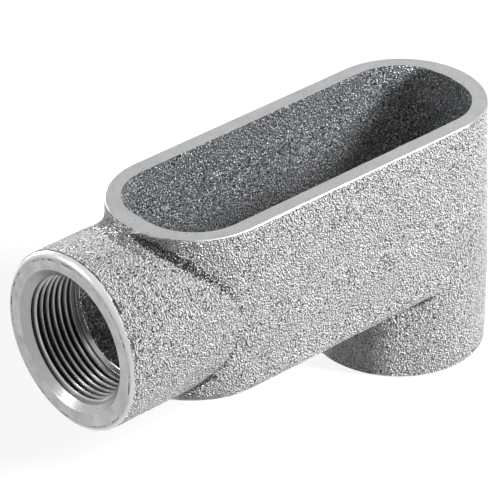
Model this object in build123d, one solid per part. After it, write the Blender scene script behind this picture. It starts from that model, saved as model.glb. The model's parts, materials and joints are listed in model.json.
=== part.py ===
from build123d import *
import os

# Elbow conduit body: one hollow iron casting with a long wiring opening on top,
# a threaded hub at its near end and another in its back, under the far end.
# Millimetres, +Z up. The origin is on the back hub's axis where its thread begins, just inside
# the lead-in of the mouth. The end hub points to -X and the back hub to -Z.

# Tapped bores, at the crests of a 1-1/4 inch tapered pipe thread
thread_bore = 38.4
thread_depth = 20.0
mouth_chamfer = 3.2          # 45 degree lead-in
throat_step = 0.6            # the bore as cast, behind the thread, is smaller by this in radius

# Hubs
hub_wall = 8.8               # from the thread's crests to the hub's outside
mouth_bevel = 2.0            # turned off the outer corner of each face
end_hub_reach = 22.7         # rim's near end to the end hub's face
back_hub_reach = 27.4        # underside to the back hub's face
end_hub_overrun = 11.0       # length of full round that the end hub keeps past the rim's end
back_hub_overrun = 3.0       # the same for the back hub, past the underside
hub_fade = 16.0              # length over which a hub's skin then sinks into the wall
hub_sink = 2.2               # how far it ends below the wall's surface
end_hub_fillet = 2.0         # cast blends where the hubs grow out of the body
back_hub_fillet = 1.5

# Cast body. It is as deep and as wide as the hubs, less these shoulders
body_length = 138.6          # rim, end to end
rim_shoulder = 1.7           # the end hub's top lies this far below the rim
underside_shoulder = 1.7     # the end hub hangs this far below the underside
side_shoulder = 2.2          # a hub is wider than the rim by this on each side
far_shoulder = 1.4           # the back hub reaches past the rim's far end by this
wall_draft = 1.8             # degrees; the walls spread towards the underside
underside_round = 5.0

# Wiring chamber, open at the rim
side_wall = 5.4              # at the rim
end_wall = 6.5               # at the rim
opening_flat = 6.0           # straight part across each end of the opening, between its corners
chamber_draft = 1.4          # degrees; the chamber narrows towards its floor
floor_thickness = 6.5
floor_round = 5.0

# Sizes, levels and places that follow
bore_radius = thread_bore / 2
hub_radius = bore_radius + hub_wall
body_width = 2 * (hub_radius - side_shoulder)
body_height = rim_shoulder + 2 * hub_radius - underside_shoulder
chamber_depth = body_height - floor_thickness
back_face_z = -mouth_chamfer
rim_z = back_face_z + back_hub_reach + body_height
far_x = hub_radius - far_shoulder
near_x = far_x - body_length
mid_x = (near_x + far_x) / 2
end_face_x = near_x - end_hub_reach
end_axis_z = rim_z - rim_shoulder - hub_radius
down = (0, 0, -1)
end_hub_place = Location((end_face_x, 0, end_axis_z), (0, 90, 0))
back_hub_place = Location((0, 0, back_face_z))


def body_skin():
    """Long oval block below the rim, with drafted walls and a rounded lower edge."""
    rim = Pos(mid_x, 0, rim_z) * SlotOverall(body_length, body_width)
    block = extrude(rim, amount=body_height, dir=down, taper=-wall_draft)
    underside = block.faces().sort_by(Axis.Z)[0]
    return fillet(underside.edges(), underside_round)


def hub_skin(straight):
    """Round hub along +Z from its mouth; past its straight length it sinks below the wall."""
    sunk_radius = body_width / 2 - hub_sink
    with BuildSketch(Plane.XZ) as half:
        with BuildLine():
            side = Line((hub_radius, mouth_bevel), (hub_radius, straight))
            fade = TangentArc(side @ 1, (sunk_radius, straight + hub_fade), tangent=(0, 1))
            Polyline(
                fade @ 1,
                (0, straight + hub_fade),
                (0, 0),
                (hub_radius - mouth_bevel, 0),
                side @ 0,
            )
        make_face()
    return revolve(half.sketch, Axis.Z)


def chamber_core():
    """What the wiring chamber takes out: a drafted oblong and a round pocket over the back hub."""
    opening_width = body_width - 2 * side_wall
    opening_corner = (opening_width - opening_flat) / 2
    opening = RectangleRounded(body_length - 2 * end_wall, opening_width, opening_corner)
    core = extrude(Pos(mid_x, 0, rim_z) * opening, amount=chamber_depth, dir=down, taper=chamber_draft)
    floor = core.faces().sort_by(Axis.Z)[0]
    core = fillet(floor.edges(), floor_round)
    pocket = Pos(0, 0, rim_z) * extrude(Circle(opening_width / 2), amount=chamber_depth, dir=down)
    return core + pocket


def hub_bore(run):
    """Lead-in, plain bore for the thread and cast throat, along +Z from the mouth."""
    throat_radius = bore_radius - throat_step
    with BuildSketch(Plane.XZ) as half:
        with BuildLine():
            Polyline(
                (0, 0),
                (bore_radius + mouth_chamfer, 0),
                (bore_radius, mouth_chamfer),
                (bore_radius, thread_depth),
                (throat_radius, thread_depth + throat_step),
                (throat_radius, run),
                (0, run),
                (0, 0),
            )
        make_face()
    return revolve(half.sketch, Axis.Z)


def blend_on(skin, hub, radius):
    """Add a hub to the skin and round the hollow corner where they meet."""
    joined = skin + hub
    return fillet(new_edges(skin, hub, combined=joined), radius)


def conduit_body():
    """The finished casting."""
    end_hub = end_hub_place * hub_skin(end_hub_reach + end_hub_overrun)
    back_hub = back_hub_place * hub_skin(back_hub_reach + back_hub_overrun)
    skin = blend_on(body_skin(), end_hub, end_hub_fillet)
    skin = blend_on(skin, back_hub, back_hub_fillet)
    end_run = end_hub_reach + end_wall + bore_radius
    back_run = back_hub_reach + floor_thickness + floor_round
    casting = skin - chamber_core()
    casting = casting - end_hub_place * hub_bore(end_run)
    return casting - back_hub_place * hub_bore(back_run)


os.makedirs("parts", exist_ok=True)
export_step(conduit_body(), "parts/conduit_body.step")
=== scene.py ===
# %% [markdown]
# Elbow conduit body, a rough zinc-coated casting with machined ends.
#
# The CAD model brings the true form: a long hollow body, a hub at its near end, a hub in its
# back, and plain bores. What it lacks is what a hand would feel: the grain of the sand mould,
# the knife-sharp edges where a cutter met that rough skin, and the threads. The script makes
# the piece the way a foundry does. It casts a rough blank that is a little too long at each
# end, then faces it, bores it and taps it with cutters.

# %% Load the frame
import json
import math

import bpy
import numpy as np
from mathutils import Matrix, Vector, noise


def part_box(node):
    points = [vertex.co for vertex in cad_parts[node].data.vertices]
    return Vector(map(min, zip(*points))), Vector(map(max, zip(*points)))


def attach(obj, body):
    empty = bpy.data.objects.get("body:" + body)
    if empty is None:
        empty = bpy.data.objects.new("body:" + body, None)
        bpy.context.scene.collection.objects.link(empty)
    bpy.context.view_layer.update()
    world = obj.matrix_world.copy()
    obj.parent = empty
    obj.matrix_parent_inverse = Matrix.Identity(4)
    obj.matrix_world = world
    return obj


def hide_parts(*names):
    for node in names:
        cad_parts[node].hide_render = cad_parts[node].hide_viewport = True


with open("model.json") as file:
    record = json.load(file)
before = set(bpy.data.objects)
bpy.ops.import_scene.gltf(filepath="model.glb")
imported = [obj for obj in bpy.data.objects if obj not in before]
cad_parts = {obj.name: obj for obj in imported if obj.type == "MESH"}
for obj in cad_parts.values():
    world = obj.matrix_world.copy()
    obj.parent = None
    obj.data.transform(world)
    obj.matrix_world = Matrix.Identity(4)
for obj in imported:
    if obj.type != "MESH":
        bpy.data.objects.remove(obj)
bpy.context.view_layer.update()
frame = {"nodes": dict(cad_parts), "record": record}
MM = 0.001

# %% [markdown]
# Everything below is worked out from the frame. The packed record names both tapped bores:
# where each thread starts, which way the hub points, and the radius of the bore. The box of
# the casting gives the three machined planes.

# %% Read the sizes that the frame gives
TOUCH = 0.001 * MM           # a point nearer than this lies on a plane
NEAR = 0.01 * MM             # the same, for a plane from rounded numbers or from a cut

low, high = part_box("conduit_body")
mounts = {mount["name"]: mount for mount in frame["record"]["mounts"]}
rim_z = high.z


class Hub:
    """A tapped hub: its axis points out of the mouth, and depths count inwards from its face."""

    def __init__(self, name):
        mount = mounts[name]
        self.name = name
        self.out = Vector(mount["axis"]).normalized()
        start = Vector(mount["pos_m"])
        corner = Vector((low.x if self.out.x < 0 else start.x, 0, low.z if self.out.z < 0 else start.z))
        self.face = start + self.out * (corner - start).dot(self.out)
        self.crest = mount["dims"]["r_mm"] * MM
        self.lead_in = (self.face - start).length
        self.thread_end = self.lead_in + mount["dims"]["length_mm"] * MM
        # a turned solid is drawn along +Z, depth first, and this carries it onto the hub
        self.place = Matrix.Translation(self.face) @ self.out.to_track_quat("-Z", "Y").to_matrix().to_4x4()


hubs = [Hub("end_hub"), Hub("back_hub")]
for hub in hubs:
    print(hub.name, "face", [round(v / MM, 2) for v in hub.face], "lead-in", round(hub.lead_in / MM, 2))
rim = np.array([v.co for v in frame["nodes"]["conduit_body"].data.vertices if v.co.z > rim_z - TOUCH])
rim_near, rim_far = rim[:, 0].min(), rim[:, 0].max()
rim_half = rim[:, 1].max()
wall_middle = abs(mounts["cover_rim"]["pos_m"][1])
print("rim, mm:", [round(v / MM, 2) for v in (rim_near, rim_far, rim_half, wall_middle)])

# %% [markdown]
# A casting comes out of the sand a little too long wherever it will be machined. The blank is
# the CAD mesh with that stock put back: 1 mm on the rim and on both hub faces, and bores that
# are still at the size of the sand core. Moving the vertices that lie on those faces is enough,
# since each of them is a plane or a round bore.

# %% Put the machining stock back
STOCK = 1.0 * MM
CORE_GAP = 0.9 * MM          # the sand core is this much smaller than the thread's crests


def split_along(points, hub):
    """Depth behind the hub's face, and the offset from its axis, for an array of points."""
    out = np.array(hub.out)
    offset = points - np.array(hub.face)
    depth = -offset @ out
    return depth, offset + depth[:, None] * out


def read_points(mesh):
    points = np.empty(len(mesh.vertices) * 3, np.float32)
    mesh.vertices.foreach_get("co", points)
    return points.reshape(-1, 3).astype(float)


def write_points(mesh, points):
    mesh.vertices.foreach_set("co", points.astype(np.float32).ravel())
    mesh.update()


def with_stock(points):
    """The points with stock on every machined face. It also measures how wide each hub is."""
    points = points.copy()
    points[points[:, 2] > rim_z - TOUCH, 2] += STOCK
    for hub in hubs:
        depth, away = split_along(points, hub)
        radius = np.linalg.norm(away, axis=1)
        hub.outer = float(radius[(depth > 0) & (depth < hub.lead_in)].max())
        on_face = np.abs(depth) < TOUCH
        in_mouth = radius < hub.crest + hub.lead_in + NEAR
        in_bore = in_mouth & (depth > -NEAR) & (depth < hub.thread_end + NEAR)
        new_depth = np.where(on_face, -STOCK, depth)
        new_radius = np.where(in_bore, hub.crest - CORE_GAP, np.where(on_face, hub.outer, radius))
        moved = in_bore | on_face
        sideways = away[moved] / radius[moved, None] * new_radius[moved, None]
        points[moved] = np.array(hub.face) - np.array(hub.out) * new_depth[moved, None] + sideways
    return points


def new_piece(name, mesh):
    piece = bpy.data.objects.new(name, mesh)
    bpy.context.scene.collection.objects.link(piece)
    return piece


blank_mesh = frame["nodes"]["conduit_body"].data.copy()
write_points(blank_mesh, with_stock(read_points(blank_mesh)))
casting = new_piece("casting", blank_mesh)
print("blank with stock:", len(blank_mesh.vertices), "vertices")
print("hubs, mm across:", [round(2 * hub.outer / MM, 2) for hub in hubs])

# %% [markdown]
# Sand does not hold a crisp corner, so every cast edge comes out soft. Bevels could round them,
# but each would need a radius of its own. A voxel remesh turns the whole blank into one even
# skin of small squares instead, under a millimetre wide, and a few smoothing steps then round
# each crease the way metal rounds it in sand. The same squares carry the next two steps.

# %% Remesh the blank and soften its creases
GRAIN_MESH = 0.92 * MM
SOFTENING = 2                # smoothing steps


def bake_modifiers(piece):
    """Replace the piece's mesh by what its modifiers make of it."""
    bpy.context.view_layer.update()
    evaluated = piece.evaluated_get(bpy.context.evaluated_depsgraph_get())
    baked = bpy.data.meshes.new_from_object(evaluated)
    old = piece.data
    piece.modifiers.clear()
    piece.data = baked
    bpy.data.meshes.remove(old)


remesh = casting.modifiers.new("Sand skin", "REMESH")
remesh.mode = "VOXEL"
remesh.voxel_size = GRAIN_MESH
soften = casting.modifiers.new("Soft corners", "SMOOTH")
soften.factor = 0.5
soften.iterations = SOFTENING
bake_modifiers(casting)
print("skin:", len(casting.data.vertices), "vertices")

# %% [markdown]
# The cast walls are not flat either. They swell and dip by a tenth of a millimetre or two
# where the sand was packed unevenly. Noise at two sizes moves each vertex inwards along its
# normal. It is real geometry, so the outline and the cut edges wander too. Grain finer than the
# squares is left to the materials.

# %% Give the skin its swells and dips
SWELLS = ((7.0 * MM, 0.10 * MM), (2.4 * MM, 0.07 * MM))   # size of a swell, height


def read_normals(mesh):
    normals = np.empty(len(mesh.vertices) * 3, np.float32)
    mesh.vertices.foreach_get("normal", normals)
    return normals.reshape(-1, 3).astype(float)


def roughen(mesh, swells):
    points = read_points(mesh)
    lift = np.zeros(len(points))
    for size, height in swells:
        lift += height * np.array([noise.noise(Vector(p / size)) for p in points])
    lift -= lift.max()
    write_points(mesh, points + read_normals(mesh) * lift[:, None])
    return lift


lift = roughen(casting.data, SWELLS)
print("swells, mm: %.3f to %.3f" % (lift.min() / MM, lift.max() / MM))

# %% [markdown]
# Hollow corners and creases of the casting are painted darker, as painted shade where shade
# would fall. They could be painted by hand, but here they are measured. A copy of the points is
# smoothed far more than the metal, until it bridges each hollow. How deep a point then lies
# below that copy is kept on the mesh, as an attribute that the materials read for this shade.

# %% Find the hollows that get painted shade
HOLLOW_STEPS = 24


def hollow_depth(mesh):
    """How far each point lies below a much smoothed copy of the skin."""
    ends = np.empty(len(mesh.edges) * 2, np.int32)
    mesh.edges.foreach_get("vertices", ends)
    a, b = ends.reshape(-1, 2).T
    count = len(mesh.vertices)
    neighbours = (np.bincount(a, minlength=count) + np.bincount(b, minlength=count))[:, None]
    points = read_points(mesh)
    smooth = points.copy()
    for _ in range(HOLLOW_STEPS):
        total = [np.bincount(a, smooth[b, k], count) + np.bincount(b, smooth[a, k], count) for k in range(3)]
        smooth = 0.5 * smooth + 0.5 * np.stack(total, axis=1) / neighbours
    return ((smooth - points) * read_normals(mesh)).sum(axis=1)


hollow = casting.data.attributes.new("hollow", "FLOAT", "POINT")
depths = hollow_depth(casting.data)
hollow.data.foreach_set("value", depths.astype(np.float32))
print("hollow, mm: %.2f to %.2f" % (depths.min() / MM, depths.max() / MM))

# %% [markdown]
# Now the machine shop. Each cutter is a closed solid that reaches well past the metal, and a
# boolean takes it away. That leaves what a real cutter leaves: a clean face with an edge that
# follows every dip of the skin. The first cutter grinds the rim flat and breaks its outer edge
# at 45 degrees. It is built from three ovals round the body's middle line.

# %% Make the rim's cutter
REACH = 3.0 * MM             # how far a cutter starts outside the metal
RIM_BREAK = 0.4 * MM         # broken outer edge of the rim


def solid(name, points, faces, place=Matrix.Identity(4)):
    """A closed cutter from points and faces. It is turned right side out if its volume is negative."""
    mesh = bpy.data.meshes.new(name)
    mesh.from_pydata([place @ Vector(p) for p in points], [], faces)
    mesh.update()
    volume = 0.0
    corners = [v.co for v in mesh.vertices]
    for face in mesh.polygons:
        first = corners[face.vertices[0]]
        for a, b in zip(face.vertices[1:], face.vertices[2:]):
            volume += first.dot(corners[a].cross(corners[b])) / 6
    if volume < 0:
        mesh.flip_normals()
    return new_piece(name, mesh)


def rim_tool(segments=160):
    wide = rim_half + 2 * REACH
    ovals = (
        (rim_half - RIM_BREAK, rim_z),
        (wide, rim_z - 2 * REACH - RIM_BREAK),
        (wide, rim_z + REACH),
    )
    near, far = rim_near + rim_half, rim_far - rim_half
    points = []
    for radius, level in ovals:
        for k in range(segments):
            turn = 2 * math.pi * (k + 0.5) / segments
            centre = far if math.cos(turn) > 0 else near
            points.append((centre + radius * math.cos(turn), radius * math.sin(turn), level))
    faces = [tuple(range(segments)), tuple(range(2 * segments, 3 * segments))[::-1]]
    for oval in range(2):
        for k in range(segments):
            a, b = oval * segments + k, oval * segments + (k + 1) % segments
            faces.append((b, a, a + segments, b + segments))
    return solid("rim_facing", points, faces)


cutters = [rim_tool()]
print(cutters[0].name, len(cutters[0].data.polygons), "faces")

# %% [markdown]
# The hubs are turned. A facing tool cuts each face flat and rounds its outer corner to a lip,
# and a boring tool opens the hub to a cone at the crests of the thread, with a 45 degree
# lead-in. Both are solids of revolution, drawn as a profile of radius and depth. The facing
# tool sits a little off the bore's axis, so the lip is wider on one side, as on a real casting.

# %% Make the facing and boring cutters
PIPE_TAPER = 1 / 32          # a tapered pipe thread closes by 1 in 16 on diameter
LIP = 2.0 * MM               # radius of the lip
LIP_OFFSET = 0.3 * MM        # how far off the axis the facing tool sits, both ways


def turned(name, profile, place, segments=192):
    """A solid of revolution about Z, whose profile starts and ends on the axis."""
    rings = profile[1:-1]
    points = [(0, 0, profile[0][1]), (0, 0, profile[-1][1])]
    for radius, depth in rings:
        for k in range(segments):
            turn = 2 * math.pi * k / segments
            points.append((radius * math.cos(turn), radius * math.sin(turn), depth))
    faces = []
    for k in range(segments):
        nxt = (k + 1) % segments
        faces.append((0, 2 + nxt, 2 + k))
        for ring in range(len(rings) - 1):
            base = 2 + ring * segments
            faces.append((base + k, base + nxt, base + segments + nxt, base + segments + k))
        base = 2 + (len(rings) - 1) * segments
        faces.append((1, base + k, base + nxt))
    return solid(name, points, faces, place)


def crest_at(hub, depth):
    """Radius of the thread's crests at a depth."""
    return hub.crest - (depth - hub.lead_in) * PIPE_TAPER


def lip_place(hub):
    """The place of the tool that rounds the lip."""
    return hub.place @ Matrix.Translation((-LIP_OFFSET, -LIP_OFFSET, 0))


def facing_tool(hub, steps=6):
    inner = hub.outer - LIP
    wide = hub.outer + REACH
    profile = [(0, 0)]
    for step in range(steps + 1):
        turn = 0.5 * math.pi * step / steps
        profile.append((inner + LIP * math.sin(turn), LIP * (1 - math.cos(turn))))
    profile += [(wide, LIP), (wide, -REACH), (0, -REACH)]
    return turned(hub.name + "_facing", profile, lip_place(hub))


def boring_tool(hub):
    mouth = hub.crest + hub.lead_in + REACH
    inner = crest_at(hub, hub.thread_end)
    profile = [
        (0, -REACH),
        (mouth, -REACH),
        (hub.crest, hub.lead_in),
        (inner, hub.thread_end),
        (inner - REACH, hub.thread_end + REACH),
        (0, hub.thread_end + REACH),
    ]
    return turned(hub.name + "_boring", profile, hub.place)


for hub in hubs:
    cutters += [facing_tool(hub), boring_tool(hub)]
print("cutters:", [c.name for c in cutters])

# %% [markdown]
# The thread is cut by a tap: a ridge with sides at 60 degrees that winds round a cone, 11.5
# turns to the inch, as on a tapered pipe thread. The ridge's radius at any depth is all that
# has to be known. The first turns of a tap are ground down so that it can start, and they
# leave the thread its shallow run-out deep in the hub.

# %% Give the thread its form
INCH = 25.4 * MM
PITCH = INCH / 11.5
THREAD_DEPTH = 0.74 * PITCH
FLANK = math.radians(30)     # half of the angle between the sides
ROOT_FLAT = 0.03             # share of a pitch, each side of the root's middle
RUN_OUT = 4.5 * MM           # the ridge fades out over this length


def ridge_radius(hub, part, depth):
    """Radius of the tap at a part of a turn: 0 lies between two ridges, 0.5 on one."""
    full = crest_at(hub, depth) + THREAD_DEPTH
    ground = crest_at(hub, depth) + THREAD_DEPTH * (hub.thread_end - depth) / RUN_OUT
    slope = PITCH * max(abs(part - 0.5) - ROOT_FLAT, 0) / math.tan(FLANK)
    return min(full, ground) - slope


print("pitch %.3f mm, thread depth %.2f mm" % (PITCH / MM, THREAD_DEPTH / MM))

# %% [markdown]
# A Screw modifier could wind a profile into a thread, but it would not let the ridge fade out.
# So the tap is written as a grid of points, sheared so that every row runs along the helix. The
# crests and roots are then grid lines, and stay sharp with few faces.

# %% Make the taps
START = 0.4                  # part of a turn by which the thread starts late
TURNS_OUTSIDE = 2.5          # turns of the tap that lie before the face
ROW_PARTS = (0.0, 0.5 - ROOT_FLAT, 0.5 + ROOT_FLAT)   # rows of points in one turn
ROWS = len(ROW_PARTS)


def tap(hub, segments=180):
    first = (START - TURNS_OUTSIDE) * PITCH
    turns = math.ceil((hub.thread_end + 2 * PITCH - first) / PITCH)
    rows = turns * ROWS
    last = segments - 1
    points = []
    for row in range(rows + 1):
        turn, part = row // ROWS, ROW_PARTS[row % ROWS]
        for k in range(segments):
            depth = first + PITCH * (turn + part + k / segments)
            radius = ridge_radius(hub, part, depth)
            angle = 2 * math.pi * k / segments
            points.append((radius * math.cos(angle), radius * math.sin(angle), depth))

    def at(row, k):
        return row * segments + k

    faces = []
    for row in range(rows):
        for k in range(last):
            faces.append((at(row, k), at(row, k + 1), at(row + 1, k + 1), at(row + 1, k)))
        if row + 1 + ROWS <= rows:
            faces.append((at(row, last), at(row + ROWS, 0), at(row + 1 + ROWS, 0), at(row + 1, last)))
    # each end is closed by a fan over one turn of the helix and the step at its seam
    start_loop = [at(0, k) for k in range(segments)] + [at(row, 0) for row in range(ROWS, 0, -1)]
    end_loop = [at(rows, k) for k in range(segments)]
    end_loop += [at(row, last) for row in range(rows - 1, rows - ROWS - 1, -1)]
    ends = ((start_loop, first - PITCH, False), (end_loop, first + PITCH * (turns + 2), True))
    for loop, depth, flip in ends:
        points.append((0, 0, depth))
        centre = len(points) - 1
        for a, b in zip(loop, loop[1:] + loop[:1]):
            faces.append((centre, a, b) if flip else (centre, b, a))
    return solid(hub.name + "_tap", points, faces, hub.place)


taps = [tap(hub) for hub in hubs]
cutters += taps
print("taps:", {made.name: len(made.data.polygons) for made in taps})

# %% [markdown]
# The cuts are made one after another, as in the shop: faces first, then bores, then threads.
# The manifold solver is used, because it is fast and keeps a closed mesh closed. It needs
# cutters that are closed too. Each cutter is deleted once it has done its work.

# %% Cut the blank
def cut(piece, cutter):
    boolean = piece.modifiers.new(cutter.name, "BOOLEAN")
    boolean.operation = "DIFFERENCE"
    boolean.solver = "MANIFOLD"
    boolean.object = cutter
    bake_modifiers(piece)
    mesh = cutter.data
    bpy.data.objects.remove(cutter)
    bpy.data.meshes.remove(mesh)
    return len(piece.data.polygons)


for cutter in cutters:
    name = cutter.name
    print(name, "->", cut(casting, cutter), "faces")

# %% [markdown]
# Three kinds of surface are left: the cast skin outside, the darker skin in the chamber and the
# throats, and bare machined metal. Faces could be picked by hand, but here each one is told
# apart by where it is, with the same values that shaped the cutters. Two distances help: how
# far a face lies from the body's long middle line, and how far it strays from a lip.

# %% Measure where a face lies
FLAT_SIDE = 0.03 * MM        # how far the flat sides of a round cutter stray from its round


def face_centres(mesh):
    centres = np.empty(len(mesh.polygons) * 3, np.float32)
    mesh.polygons.foreach_get("center", centres)
    return centres.reshape(-1, 3).astype(float)


def stadium_distance(points):
    """Distance from the long middle line of the body, seen from above."""
    x = np.clip(points[:, 0], rim_near + rim_half, rim_far - rim_half)
    return np.hypot(points[:, 0] - x, points[:, 1])


def on_quarter_round(hub, depth, away):
    """Whether each face lies on the lip that the facing tool leaves."""
    shift = np.array(lip_place(hub).translation - hub.place.translation)
    across = np.linalg.norm(away - shift, axis=1) - (hub.outer - LIP)
    stray = np.abs(np.hypot(across, depth - LIP) - LIP)
    return (across > 0) & (depth < LIP) & (stray < FLAT_SIDE)


widest = stadium_distance(face_centres(casting.data)).max()
print("the body's faces reach %.1f mm from its middle line" % (widest / MM))

# %% [markdown]
# A face on a machined plane, on a lip or inside a thread is bare metal. One inside the middle of
# the walls is chamber, one near a hub's axis is throat, and the rest is skin. Corners sharper
# than 28 degrees stay crisp, and everything else is shaded smooth.

# %% Sort the faces by surface
SURFACES = ("skin", "chamber", "rim", "end hub", "back hub")
SKIN, CHAMBER, RIM, END_HUB, BACK_HUB = range(len(SURFACES))
CRISP = math.radians(28)
UNDERSIDE = 0.32             # where the underside lies, from the back hub's face (0) to the rim (1)
FLOOR_LEVEL = 3.0 * MM       # the middle of the floor lies this far above the underside
THROAT = (2 * MM, 60 * MM)   # room round the crests, and depth, within which cast skin is throat
THREAD_ROOM = 1.2            # the roots and the mouth stay within this times the lead-in
THREAD_SLACK = 0.3 * MM      # the bored face behind the thread reaches this much deeper
CREST_SLACK = 0.1 * MM       # a face this far inside the crests still counts as bored
EDGE_DROP = 1.5 * MM         # the broken edge ends above this


def sort_faces(mesh):
    centre = face_centres(mesh)
    distance = stadium_distance(centre)
    bottom = hubs[1].face.z
    floor_z = bottom + (rim_z - bottom) * UNDERSIDE + FLOOR_LEVEL
    kind = np.full(len(centre), SKIN)
    kind[(distance < wall_middle) & (centre[:, 2] > floor_z)] = CHAMBER
    for hub, metal in zip(hubs, (END_HUB, BACK_HUB)):
        depth, away = split_along(centre, hub)
        radius = np.linalg.norm(away, axis=1)
        throat = (radius < hub.crest + THROAT[0]) & (depth > 0) & (depth < THROAT[1])
        kind[throat & (kind == SKIN)] = CHAMBER
        tapped = (radius < hub.crest + THREAD_ROOM * hub.lead_in) & (depth < hub.thread_end + THREAD_SLACK)
        bored = (radius > crest_at(hub, depth) - CREST_SLACK) & (depth > 0)
        kind[(np.abs(depth) < NEAR) | (tapped & bored) | on_quarter_round(hub, depth, away)] = metal
    drop = rim_z - centre[:, 2]
    edge = np.abs(distance - rim_half + RIM_BREAK - drop) < FLAT_SIDE
    kind[(drop < NEAR) | (edge & (drop < EDGE_DROP))] = RIM
    mesh.polygons.foreach_set("material_index", kind.astype(np.int32))
    return dict(zip(SURFACES, np.bincount(kind, minlength=len(SURFACES)).tolist()))


casting.data.polygons.foreach_set("use_smooth", np.ones(len(casting.data.polygons), bool))
casting.data.set_sharp_from_angle(angle=CRISP)
casting.data.materials.clear()
print(sort_faces(casting.data))

# %% [markdown]
# Materials come next. An effect that more than one of them needs is a node group: named inputs
# and outputs, built once, and placed in each material with its own values. The helpers below
# add nodes in one short line each, so that a tree reads like a sum. A value or another node's
# output can be given to any input.

# %% Short ways to wire nodes
class Wiring:
    """Adds nodes to one tree."""

    def __init__(self, tree):
        self.tree = tree

    def feed(self, socket, value):
        if isinstance(value, bpy.types.NodeSocket):
            self.tree.links.new(value, socket)
        else:
            socket.default_value = value

    def node(self, kind, settings=None, **inputs):
        made = self.tree.nodes.new(kind)
        for key, value in (settings or {}).items():
            setattr(made, key, value)
        for key, value in inputs.items():
            self.feed(made.inputs[key.replace("_", " ")], value)
        return made

    def group(self, tree, **inputs):
        made = self.node("ShaderNodeGroup", {"node_tree": tree})
        for key, value in inputs.items():
            self.feed(made.inputs[key], value)
        return made.outputs

    def math(self, operation, *values):
        made = self.node("ShaderNodeMath", {"operation": operation})
        for socket, value in zip(made.inputs, values):
            self.feed(socket, value)
        return made.outputs[0]

    def plus(self, a, b):
        return self.math("ADD", a, b)

    def minus(self, a, b):
        return self.math("SUBTRACT", a, b)

    def times(self, a, b):
        return self.math("MULTIPLY", a, b)

    def most(self, a, b):
        return self.math("MAXIMUM", a, b)

    def vector(self, operation, *values):
        made = self.node("ShaderNodeVectorMath", {"operation": operation})
        for socket, value in zip(made.inputs, values):
            self.feed(socket, value)
        return made.outputs["Value" if operation in ("LENGTH", "DOT_PRODUCT") else "Vector"]

    def scale(self, vector, factor):
        made = self.node("ShaderNodeVectorMath", {"operation": "SCALE"}, Scale=factor)
        self.feed(made.inputs[0], vector)
        return made.outputs[0]

    def noise(self, position, size, detail=2.0, roughness=0.5):
        """Noise from 0 to 1, with features about this size in metres."""
        made = self.node(
            "ShaderNodeTexNoise", Vector=position, Scale=1 / size, Detail=detail, Roughness=roughness)
        return made.outputs["Fac"]

    def spread(self, value, low, high, to_low=0.0, to_high=1.0):
        """A soft step: to_low below low and to_high above high."""
        made = self.node(
            "ShaderNodeMapRange", {"interpolation_type": "SMOOTHSTEP"}, Value=value,
            From_Min=low, From_Max=high, To_Min=to_low, To_Max=to_high)
        return made.outputs["Result"]

    def blend(self, amount, first, second):
        """The first colour where the amount is 0, and the second where it is 1."""
        made = self.node("ShaderNodeMix", {"data_type": "RGBA"}, Factor=amount)
        # the Mix node has sockets of each kind: these are its colours
        self.feed(made.inputs[6], first)
        self.feed(made.inputs[7], second)
        return made.outputs[2]


print("wiring:", [name for name in vars(Wiring) if not name.startswith("_")])

# %% [markdown]
# The zinc skin is all grain. The sand leaves bumps of about half a millimetre. Their colour is
# brighter on the tops and darker between them: partly the zinc's own tone, partly painted shade
# of the low places. Small dark pits break it up, with a few glints painted bright as painted
# highlights, and the whole surface has slow clouds where the plating is thicker. As geometry
# such bumps would take millions of faces, so they are left to a Bump node. Most of the contrast
# has to come from that relief, because light and dark paint alone looks like granite.

# %% Build the sand grain group
GRAIN = 0.48 * MM            # cells that stand for single grains of sand
FINE, COARSE = 0.31 * MM, 0.57 * MM                # two sizes of bump
SPOT, PATCH, CLOUD = 0.75 * MM, 22 * MM, 16 * MM   # single pits or glints, and slow changes
PIT_LEVELS = (0.40, 0.36)    # noise that falls through these becomes a pit
PAINTED_GLINT_LEVELS = (0.58, 0.65)  # noise that rises through these becomes a painted glint
PATCHINESS = 0.006           # how far patches shift the level of pits


def new_group(name, inputs, outputs):
    """An empty node group. An input without a number is a vector, and all others are numbers."""
    group = bpy.data.node_groups.new(name, "ShaderNodeTree")
    for label, number in inputs.items():
        kind = "NodeSocketVector" if number is None else "NodeSocketFloat"
        made = group.interface.new_socket(label, in_out="INPUT", socket_type=kind)
        if number is not None:
            made.default_value = number
    for label in outputs:
        group.interface.new_socket(label, in_out="OUTPUT", socket_type="NodeSocketFloat")
    entry = group.nodes.new("NodeGroupInput").outputs
    leave = group.nodes.new("NodeGroupOutput").inputs
    return Wiring(group), entry, leave


w, entry, leave = new_group(
    "sand_grain",
    {"Position": None, "Fineness": 1.0, "Coarse": 2.0},
    ("Height", "Shade", "Pits", "Painted glints", "Cloud"),
)
grain_group = w.tree
position = w.scale(entry["Position"], entry["Fineness"])
fine = w.noise(position, FINE, 0.0)
coarse = w.noise(position, COARSE, 0.0)
cells = w.node("ShaderNodeTexVoronoi", Vector=position, Scale=1 / GRAIN).outputs
dome = w.times(cells["Distance"], cells["Distance"])
cell_tone = w.node("ShaderNodeSeparateColor", Color=cells["Color"]).outputs[0]
spots = w.noise(position, SPOT, 1.0, 0.6)
patches = w.spread(w.noise(position, PATCH, 1.0), 0.35, 0.65, PATCHINESS, -PATCHINESS)
pits = w.spread(w.plus(spots, patches), *PIT_LEVELS)
bumps = w.plus(w.times(fine, 0.6), w.times(coarse, entry["Coarse"]))
dips = w.plus(w.times(dome, 0.4), w.times(pits, 0.5))
relief = w.minus(w.times(w.plus(fine, coarse), 0.5), w.times(dome, 0.2))
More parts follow.
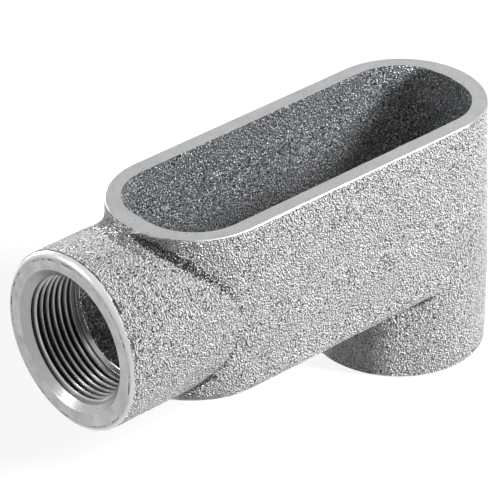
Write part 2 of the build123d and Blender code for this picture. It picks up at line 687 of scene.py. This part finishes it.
# partly painted shade: the colour is darker where the relief is low
shade = w.plus(w.times(w.spread(relief, 0.28, 0.60), 0.85), w.times(cell_tone, 0.15))
w.feed(leave["Height"], w.minus(bumps, dips))
w.feed(leave["Shade"], shade)
w.feed(leave["Pits"], pits)
w.feed(leave["Painted glints"], w.spread(spots, *PAINTED_GLINT_LEVELS))
w.feed(leave["Cloud"], w.noise(position, CLOUD, 2.0))
print("sand_grain nodes:", len(grain_group.nodes))

# %% [markdown]
# A cutter leaves marks too. On the hub faces they are rings about the hub's axis, as from a
# lathe, and on the threads they follow the tap round. The second group measures the distance
# from an axis and makes fine uneven rings from it. It also hands out that distance and the
# depth, so that a material can tell the parts of a hub apart.

# %% Build the turning marks group
STAIN = 5 * MM               # size of the blotches on bare metal


def round_axis(w, entry):
    """Distance from the axis, and depth behind the centre, of the group's position."""
    offset = w.vector("SUBTRACT", entry["Position"], entry["Centre"])
    along = w.vector("DOT_PRODUCT", offset, entry["Axis"])
    sideways = w.vector("SUBTRACT", offset, w.scale(entry["Axis"], along))
    return w.vector("LENGTH", sideways), w.times(along, -1.0)


w, entry, leave = new_group(
    "turning_marks",
    {"Position": None, "Centre": None, "Axis": None, "Spacing": 0.3 * MM},
    ("Height", "Tone", "Radius", "Depth"),
)
rings_group = w.tree
radius, depth = round_axis(w, entry)
ring_place = w.node("ShaderNodeCombineXYZ", X=radius, Y=w.times(depth, 0.6)).outputs[0]
density = w.math("DIVIDE", 1.0, entry["Spacing"])
ring_noise = w.node("ShaderNodeTexNoise", Vector=ring_place, Scale=density, Detail=2.0, Roughness=0.7)
rings = ring_noise.outputs["Fac"]
blotch = w.noise(entry["Position"], STAIN, 3.0)
w.feed(leave["Height"], rings)
w.feed(leave["Tone"], w.plus(w.times(rings, 0.6), w.times(blotch, 0.4)))
w.feed(leave["Radius"], radius)
w.feed(leave["Depth"], depth)
print("turning_marks nodes:", len(rings_group.nodes))

# %% [markdown]
# Where the turned lip meets the flat face, and again where it meets the cast skin, a broken
# dark line is painted round the hub: painted shade of the small step at the tool's edge. The
# third group draws such a line at a given radius and depth.

# %% Build the group of painted lip shade
SKIPS = 5.0 * MM             # length of one dash

w, entry, leave = new_group(
    "painted_lip_shade",
    {"Position": None, "Centre": None, "Axis": None, "Radius": 30 * MM, "Depth": 0.0, "Width": 0.4 * MM},
    ("Mask",),
)
lip_shade_group = w.tree
radius, depth = round_axis(w, entry)
across = w.minus(radius, entry["Radius"])
behind = w.minus(depth, entry["Depth"])
away = w.math("SQRT", w.plus(w.times(across, across), w.times(behind, behind)))
line = w.minus(1.0, w.spread(w.math("DIVIDE", away, entry["Width"]), 0.35, 1.0))
dashes = w.spread(w.noise(entry["Position"], SKIPS, 4.0, 0.7), 0.46, 0.62)
w.feed(leave["Mask"], w.times(line, dashes))
print("painted_lip_shade nodes:", len(lip_shade_group.nodes))

# %% [markdown]
# Each material is a Principled surface. Zinc on a rough casting is a dull metal: it mirrors
# little, but each bump has a soft highlight of its own. So the skin is only slightly metallic,
# and takes its sparkle from the bump. The chamber's skin has a finer grain, and its much darker
# colour is painted shade of the deep chamber. In hollow corners painted shade darkens the low
# grains first, so it shows as dark speckle.

# %% Zinc skin outside, and the darker skin in the chamber
CLOUD_TONES = (-0.04, 0.05)  # clouds darken and brighten the grain by this much
HOLLOW_SHADE_FROM, HOLLOW_SHADE_FULL = 0.04 * MM, 0.40 * MM   # depth of a hollow where painted shade starts, and is darkest
HOLLOW_SHADE_MOST = 0.98             # share of the grain's tones that the darkest painted shade covers
HOLLOW_SHADE_EDGE = 0.25             # how softly the painted shade ends, in the same tones
LIP_SEAM_SHADE = 0.7 * MM          # width of the broken line of painted shade between lip and skin


def new_material(name):
    material = bpy.data.materials.new(name)
    material.use_nodes = True
    tree = material.node_tree
    surface = next(n for n in tree.nodes if n.type == "BSDF_PRINCIPLED")
    place = tree.nodes.new("ShaderNodeTexCoord").outputs["Object"]
    return material, Wiring(tree), surface, place


def grey(red, green, blue):
    """A metal's near grey, with full alpha."""
    return (red, green, blue, 1)


def lip_shade_line(w, place, hub, radius, depth, width):
    """Broken dark line of painted shade round a hub, on the axis of the tool that rounds its lip."""
    made = w.group(
        lip_shade_group, Position=place, Centre=tuple(lip_place(hub).translation), Axis=tuple(hub.out),
        Radius=radius, Depth=depth, Width=width)
    return made["Mask"]


def cast_material(name, pit, dull, bright, glint_paint, metallic, rough, depth, fineness, coarse):
    material, w, surface, place = new_material(name)
    grain = w.group(grain_group, Position=place, Fineness=fineness, Coarse=coarse)
    cloud = w.spread(grain["Cloud"], 0.3, 0.7, *CLOUD_TONES)
    colour = w.blend(w.plus(grain["Shade"], cloud), dull, bright)
    hollow_here = w.node("ShaderNodeAttribute", {"attribute_name": "hollow"}).outputs["Fac"]
    # painted shade: hollows darken the colour, the low grains first
    level = w.spread(hollow_here, HOLLOW_SHADE_FROM, HOLLOW_SHADE_FULL, 0.0, HOLLOW_SHADE_MOST)
    hollow_and_lip_shade = w.spread(grain["Shade"], level, w.minus(level, HOLLOW_SHADE_EDGE))
    # painted shade: a broken dark line where each lip meets the skin
    for hub in hubs:
        hollow_and_lip_shade = w.most(hollow_and_lip_shade, lip_shade_line(w, place, hub, hub.outer, LIP, LIP_SEAM_SHADE))
    # painted highlight: glints are painted bright into the colour
    colour = w.blend(grain["Painted glints"], colour, glint_paint)
    w.feed(surface.inputs["Base Color"], w.blend(w.most(grain["Pits"], hollow_and_lip_shade), colour, pit))
    surface.inputs["Metallic"].default_value = metallic
    w.feed(surface.inputs["Roughness"], w.spread(grain["Shade"], 0.0, 1.0, rough + 0.15, rough - 0.08))
    bump = w.node("ShaderNodeBump", Height=grain["Height"], Strength=1.0, Distance=depth)
    w.feed(surface.inputs["Normal"], bump.outputs["Normal"])
    return material


zinc_skin = cast_material(
    "zinc_skin",
    pit=grey(0.02, 0.02, 0.022), dull=grey(0.38, 0.38, 0.384),
    bright=grey(0.88, 0.88, 0.89), glint_paint=grey(0.97, 0.97, 0.98),
    metallic=0.15, rough=0.32, depth=1.4 * MM, fineness=1.14, coarse=2.5)
# painted shade: the chamber's much darker colours stand in for the shade deep inside it
chamber_skin = cast_material(
    "chamber_skin",
    pit=grey(0.01, 0.0105, 0.012), dull=grey(0.035, 0.037, 0.04),
    bright=grey(0.50, 0.52, 0.54), glint_paint=grey(0.92, 0.94, 0.96),
    metallic=0.5, rough=0.25, depth=1.0 * MM, fineness=1.25, coarse=2.3)
print("cast skins:", zinc_skin.name, chamber_skin.name)

# %% [markdown]
# The turned metal is one material for each hub, because its rings need that hub's own axis. It
# has four parts, told apart by depth and radius: the flat face, the bright rounded lip, the
# duller lead-in, and the thread, whose roots are painted near black as painted shade.

# %% Turned metal of the hubs
RING_SPACING = 0.22 * MM
RING_RELIEF = 0.05 * MM
LIP_BLEND = 1.0 * MM         # the lip's colour fades in over this width of the face
FACE_SEAM_SHADE = 0.42 * MM        # width of the broken line of painted shade between lip and face
ROOT_SHADE_FROM, ROOT_SHADE_FULL = 0.1 * THREAD_DEPTH, 0.55 * THREAD_DEPTH   # painted shade sets in below the crests
ROOT_SHADE_COVER = 0.88             # how much of the metal the painted shade hides
FACE_METALLIC, LEAD_IN_LOSS = 0.8, 0.55   # the duller lead-in is less metallic by this
FACE_DULL, FACE_BRIGHT = grey(0.34, 0.34, 0.345), grey(0.64, 0.64, 0.65)
LIP_COLOUR = grey(0.68, 0.68, 0.69)
LEAD_IN_COLOUR = grey(0.72, 0.72, 0.73)
ROOT_SHADE_COLOUR = grey(0.03, 0.032, 0.034)


def turned_material(hub):
    material, w, surface, place = new_material("turned_" + hub.name)
    marks = w.group(
        rings_group, Position=place, Centre=tuple(hub.face), Axis=tuple(hub.out), Spacing=RING_SPACING)
    depth, radius, tone = marks["Depth"], marks["Radius"], marks["Tone"]
    lip_start = hub.outer - LIP
    behind_face = w.spread(depth, 0.05 * MM, 0.3 * MM)
    on_lip = w.times(behind_face, w.spread(radius, lip_start - LIP_BLEND, lip_start))
    in_bore = w.minus(behind_face, on_lip)
    in_thread = w.times(in_bore, w.spread(depth, 0.6 * hub.lead_in, 1.1 * hub.lead_in))
    in_lead = w.minus(in_bore, in_thread)
    crest = w.minus(hub.crest, w.times(w.minus(depth, hub.lead_in), PIPE_TAPER))
    # painted shade: the thread's roots are painted dark below the crests
    root_shade = w.times(w.spread(w.minus(radius, crest), ROOT_SHADE_FROM, ROOT_SHADE_FULL), in_thread)
    # painted shade: a broken dark line where the lip meets the face
    root_and_seam_shade = w.most(root_shade, lip_shade_line(w, place, hub, lip_start, 0.0, FACE_SEAM_SHADE))
    colour = w.blend(w.spread(tone, 0.3, 0.7), FACE_DULL, FACE_BRIGHT)
    colour = w.blend(in_lead, colour, LEAD_IN_COLOUR)
    colour = w.blend(on_lip, colour, LIP_COLOUR)
    w.feed(surface.inputs["Base Color"], w.blend(w.times(root_and_seam_shade, ROOT_SHADE_COVER), colour, ROOT_SHADE_COLOUR))
    w.feed(surface.inputs["Metallic"], w.minus(FACE_METALLIC, w.times(in_lead, LEAD_IN_LOSS)))
    w.feed(surface.inputs["Roughness"], w.spread(tone, 0.3, 0.7, 0.36, 0.20))
    bump = w.node("ShaderNodeBump", Height=marks["Height"], Strength=1.0, Distance=RING_RELIEF)
    w.feed(surface.inputs["Normal"], bump.outputs["Normal"])
    return material


turned_metal = [turned_material(hub) for hub in hubs]
print("turned metal:", [m.name for m in turned_metal])

# %% [markdown]
# The rim was ground on a flat wheel, so its scratches are straight and all run one way. They
# come from noise that is stretched twentyfold. Here and there a pore of the casting shows as a
# dark nick. The broken outer edge is painted bright only near the end hub, a painted highlight.
# Further on it is dull, with dark dashes.

# %% Ground metal of the rim
SCRATCH, NICK, EDGE_SKIP, RIM_BLOTCH = 0.25 * MM, 0.8 * MM, 4 * MM, 6 * MM   # sizes of the marks
SCRATCH_TURN = math.radians(24)
SCRATCH_STRETCH = 0.05
SCRATCH_RELIEF = 0.012 * MM
EDGE_FADE = (0.02 * MM, 0.08 * MM)            # below the rim: the edge's colour takes over
EDGE_HIGHLIGHT_SPAN = (5 * MM, 12 * MM, 34 * MM, 48 * MM)   # from the rim's near end: the painted highlight brightens, and fades again
RIM_DULL, RIM_BRIGHT = grey(0.355, 0.36, 0.365), grey(0.44, 0.445, 0.45)
NICK_COLOUR = grey(0.08, 0.08, 0.085)
# colour of the painted highlight on the broken edge
EDGE_HIGHLIGHT = grey(0.62, 0.62, 0.63)
EDGE_DULL, EDGE_SKIPPED = grey(0.30, 0.30, 0.305), grey(0.10, 0.10, 0.105)


def rim_material():
    material, w, surface, place = new_material("faced_rim")
    stretched = w.node(
        "ShaderNodeMapping", Vector=place, Rotation=(0, 0, SCRATCH_TURN), Scale=(SCRATCH_STRETCH, 1.0, 1.0))
    scratches = w.noise(stretched.outputs[0], SCRATCH, 3.0, 0.7)
    blotch = w.noise(place, RIM_BLOTCH, 3.0)
    tone = w.plus(w.times(scratches, 0.5), w.times(blotch, 0.5))
    nicks = w.times(w.spread(w.noise(place, NICK, 2.0), 0.66, 0.70), 0.7)
    along, _, up = w.node("ShaderNodeSeparateXYZ", Vector=place).outputs
    broken = w.spread(w.minus(rim_z, up), *EDGE_FADE)
    start, full, fade, end = (rim_near + offset for offset in EDGE_HIGHLIGHT_SPAN)
    # painted highlight: the broken edge is painted bright near the end hub
    painted_edge_highlight = w.times(w.spread(along, start, full), w.spread(along, fade, end, 1.0, 0.0))
    skipped = w.times(w.spread(w.noise(place, EDGE_SKIP, 3.0, 0.7), 0.42, 0.56), 0.8)
    edge = w.blend(painted_edge_highlight, w.blend(skipped, EDGE_DULL, EDGE_SKIPPED), EDGE_HIGHLIGHT)
    colour = w.blend(broken, w.blend(w.spread(tone, 0.3, 0.7), RIM_DULL, RIM_BRIGHT), edge)
    w.feed(surface.inputs["Base Color"], w.blend(nicks, colour, NICK_COLOUR))
    surface.inputs["Metallic"].default_value = 0.7
    w.feed(surface.inputs["Roughness"], w.spread(tone, 0.35, 0.65, 0.46, 0.34))
    bump = w.node("ShaderNodeBump", Height=scratches, Strength=1.0, Distance=SCRATCH_RELIEF)
    w.feed(surface.inputs["Normal"], bump.outputs["Normal"])
    return material


for material in (zinc_skin, chamber_skin, rim_material(), *turned_metal):
    casting.data.materials.append(material)
print(dict(zip(SURFACES, [m.name for m in casting.data.materials])))

# %% [markdown]
# The real fitting is one rigid casting with nothing that moves, so the piece rides on the root
# body alone. It stands for the CAD solid, which is hidden but still serves for collisions, and
# it takes its finish from the record's slot.

# %% Put the casting in the frame
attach(casting, "root")
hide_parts("conduit_body")
print("triangles:", sum(len(face.vertices) - 2 for face in casting.data.polygons))

# %% [markdown]
# The body stands on its back hub, as in the photograph, on a pale floor under a plain world.
# Metal looks like what it mirrors, so floor and world are white to the camera and in
# reflections. For light that bounces they are much darker, or the studio would fill every
# shadow and flatten the grain. The floor that is seen adds its glow to a weak diffuse surface,
# which keeps the soft shadow.

# %% Floor and backdrop
FLOOR_HALF = 3.0             # metres
BOUNCE_TONE = 0.25           # colour of the floor for light that bounces
SHADOW_TONE, FLOOR_GLOW = 0.22, 0.84   # what the seen floor takes from the lamps, and its own light
SOFT_LIGHT, SEEN_LIGHT = 0.06, 1.0     # the world's strength, for light that bounces and as seen


def seen_directly(w):
    """1 for what the camera sees, in a reflection or through glass too, and 0 for light that bounces."""
    path = w.node("ShaderNodeLightPath").outputs
    return w.most(path["Is Camera Ray"], w.most(path["Is Glossy Ray"], path["Is Transmission Ray"]))


def choose(w, plain, seen, target):
    """Send the plain shader to the target for light that bounces, and the seen one for the eye."""
    mix = w.node("ShaderNodeMixShader")
    for socket, value in zip(mix.inputs, (seen_directly(w), plain.outputs[0], seen.outputs[0])):
        w.feed(socket, value)
    w.feed(target.inputs["Surface"], mix.outputs[0])


def stage_floor():
    mesh = bpy.data.meshes.new("floor")
    corners = [(-1, -1), (1, -1), (1, 1), (-1, 1)]
    mesh.from_pydata([(FLOOR_HALF * x, FLOOR_HALF * y, 0) for x, y in corners], [], [(0, 1, 2, 3)])
    floor = new_piece("floor", mesh)
    floor.location = (0, 0, low.z)
    material, w, surface, _ = new_material("pale_floor")
    surface.inputs["Base Color"].default_value = grey(BOUNCE_TONE, BOUNCE_TONE, BOUNCE_TONE)
    surface.inputs["Roughness"].default_value = 0.9
    shadow = w.node("ShaderNodeBsdfDiffuse", Color=grey(SHADOW_TONE, SHADOW_TONE, SHADOW_TONE))
    glow = w.node("ShaderNodeEmission", Strength=FLOOR_GLOW)
    seen = w.node("ShaderNodeAddShader")
    w.feed(seen.inputs[0], shadow.outputs[0])
    w.feed(seen.inputs[1], glow.outputs[0])
    choose(w, surface, seen, w.tree.nodes["Material Output"])
    mesh.materials.append(material)
    return floor


def studio_world():
    world = bpy.data.worlds.new("studio")
    world.use_nodes = True
    w = Wiring(world.node_tree)
    soft = w.tree.nodes["Background"]
    soft.inputs["Color"].default_value = grey(1, 1, 1)
    soft.inputs["Strength"].default_value = SOFT_LIGHT
    seen = w.node("ShaderNodeBackground", Color=grey(1, 1, 1), Strength=SEEN_LIGHT)
    choose(w, soft, seen, w.tree.nodes["World Output"])
    return world


floor = stage_floor()
bpy.context.scene.world = studio_world()
print("floor at z %.1f mm" % (floor.location.z / MM))

# %% [markdown]
# The photograph is squeezed sideways, so no camera matches it on a body of true proportions.
# This camera keeps the photograph's long lens and height, and turns a little further round the
# near end, which brings back the narrow look as far as true proportions allow.

# %% Set up the camera
AZIMUTH, ELEVATION = math.radians(-43), math.radians(31)
DISTANCE = 1.14
PICTURE = 500                # pixels across the picture
LENS_PIXELS = 3790           # focal length, in the same pixels
target = Vector((-59.5, 4.0, 49.0)) * MM


def aim(obj, place, at):
    obj.location = place
    obj.rotation_euler = (at - place).to_track_quat("-Z", "Y").to_euler()


camera_data = bpy.data.cameras.new("camera")
camera_data.sensor_width = 36
camera_data.lens = LENS_PIXELS * camera_data.sensor_width / PICTURE
camera = bpy.data.objects.new("camera", camera_data)
bpy.context.scene.collection.objects.link(camera)
level = math.cos(ELEVATION)
toward_camera = Vector((math.sin(AZIMUTH) * level, -math.cos(AZIMUTH) * level, math.sin(ELEVATION)))
aim(camera, target + toward_camera * DISTANCE, target)
bpy.context.scene.camera = camera
print("camera", [round(v, 3) for v in camera.location], "lens %.0f mm" % camera_data.lens)

# %% [markdown]
# Three round lamps light the body. The key comes from the right and front: it rakes over the
# wall, so each bump throws its own small shadow, and leaves the near crease dark. The window,
# behind on the left, brightens the hub's lead-in, and a lamp behind lights the far side.

# %% Set up the lamps
def lamp(name, toward, distance, size, power):
    data = bpy.data.lights.new(name, "AREA")
    data.shape = "DISK"
    data.size = size
    data.energy = power
    made = bpy.data.objects.new(name, data)
    bpy.context.scene.collection.objects.link(made)
    aim(made, target + toward.normalized() * distance, target)
    return made


lamps = [
    lamp("key", Vector((0.53, -0.68, 0.50)), distance=0.8, size=0.26, power=14.4),
    lamp("window", Vector((-0.72, 0.50, 0.50)), distance=1.0, size=0.3, power=3.0),
    lamp("behind", Vector((0.15, 0.97, 0.10)), distance=1.0, size=0.3, power=6.5),
]
bpy.context.scene.view_settings.view_transform = "Standard"
print("lamps, W:", {made.name: round(made.data.energy, 1) for made in lamps})

# The cut casting has to stay inside the CAD box.
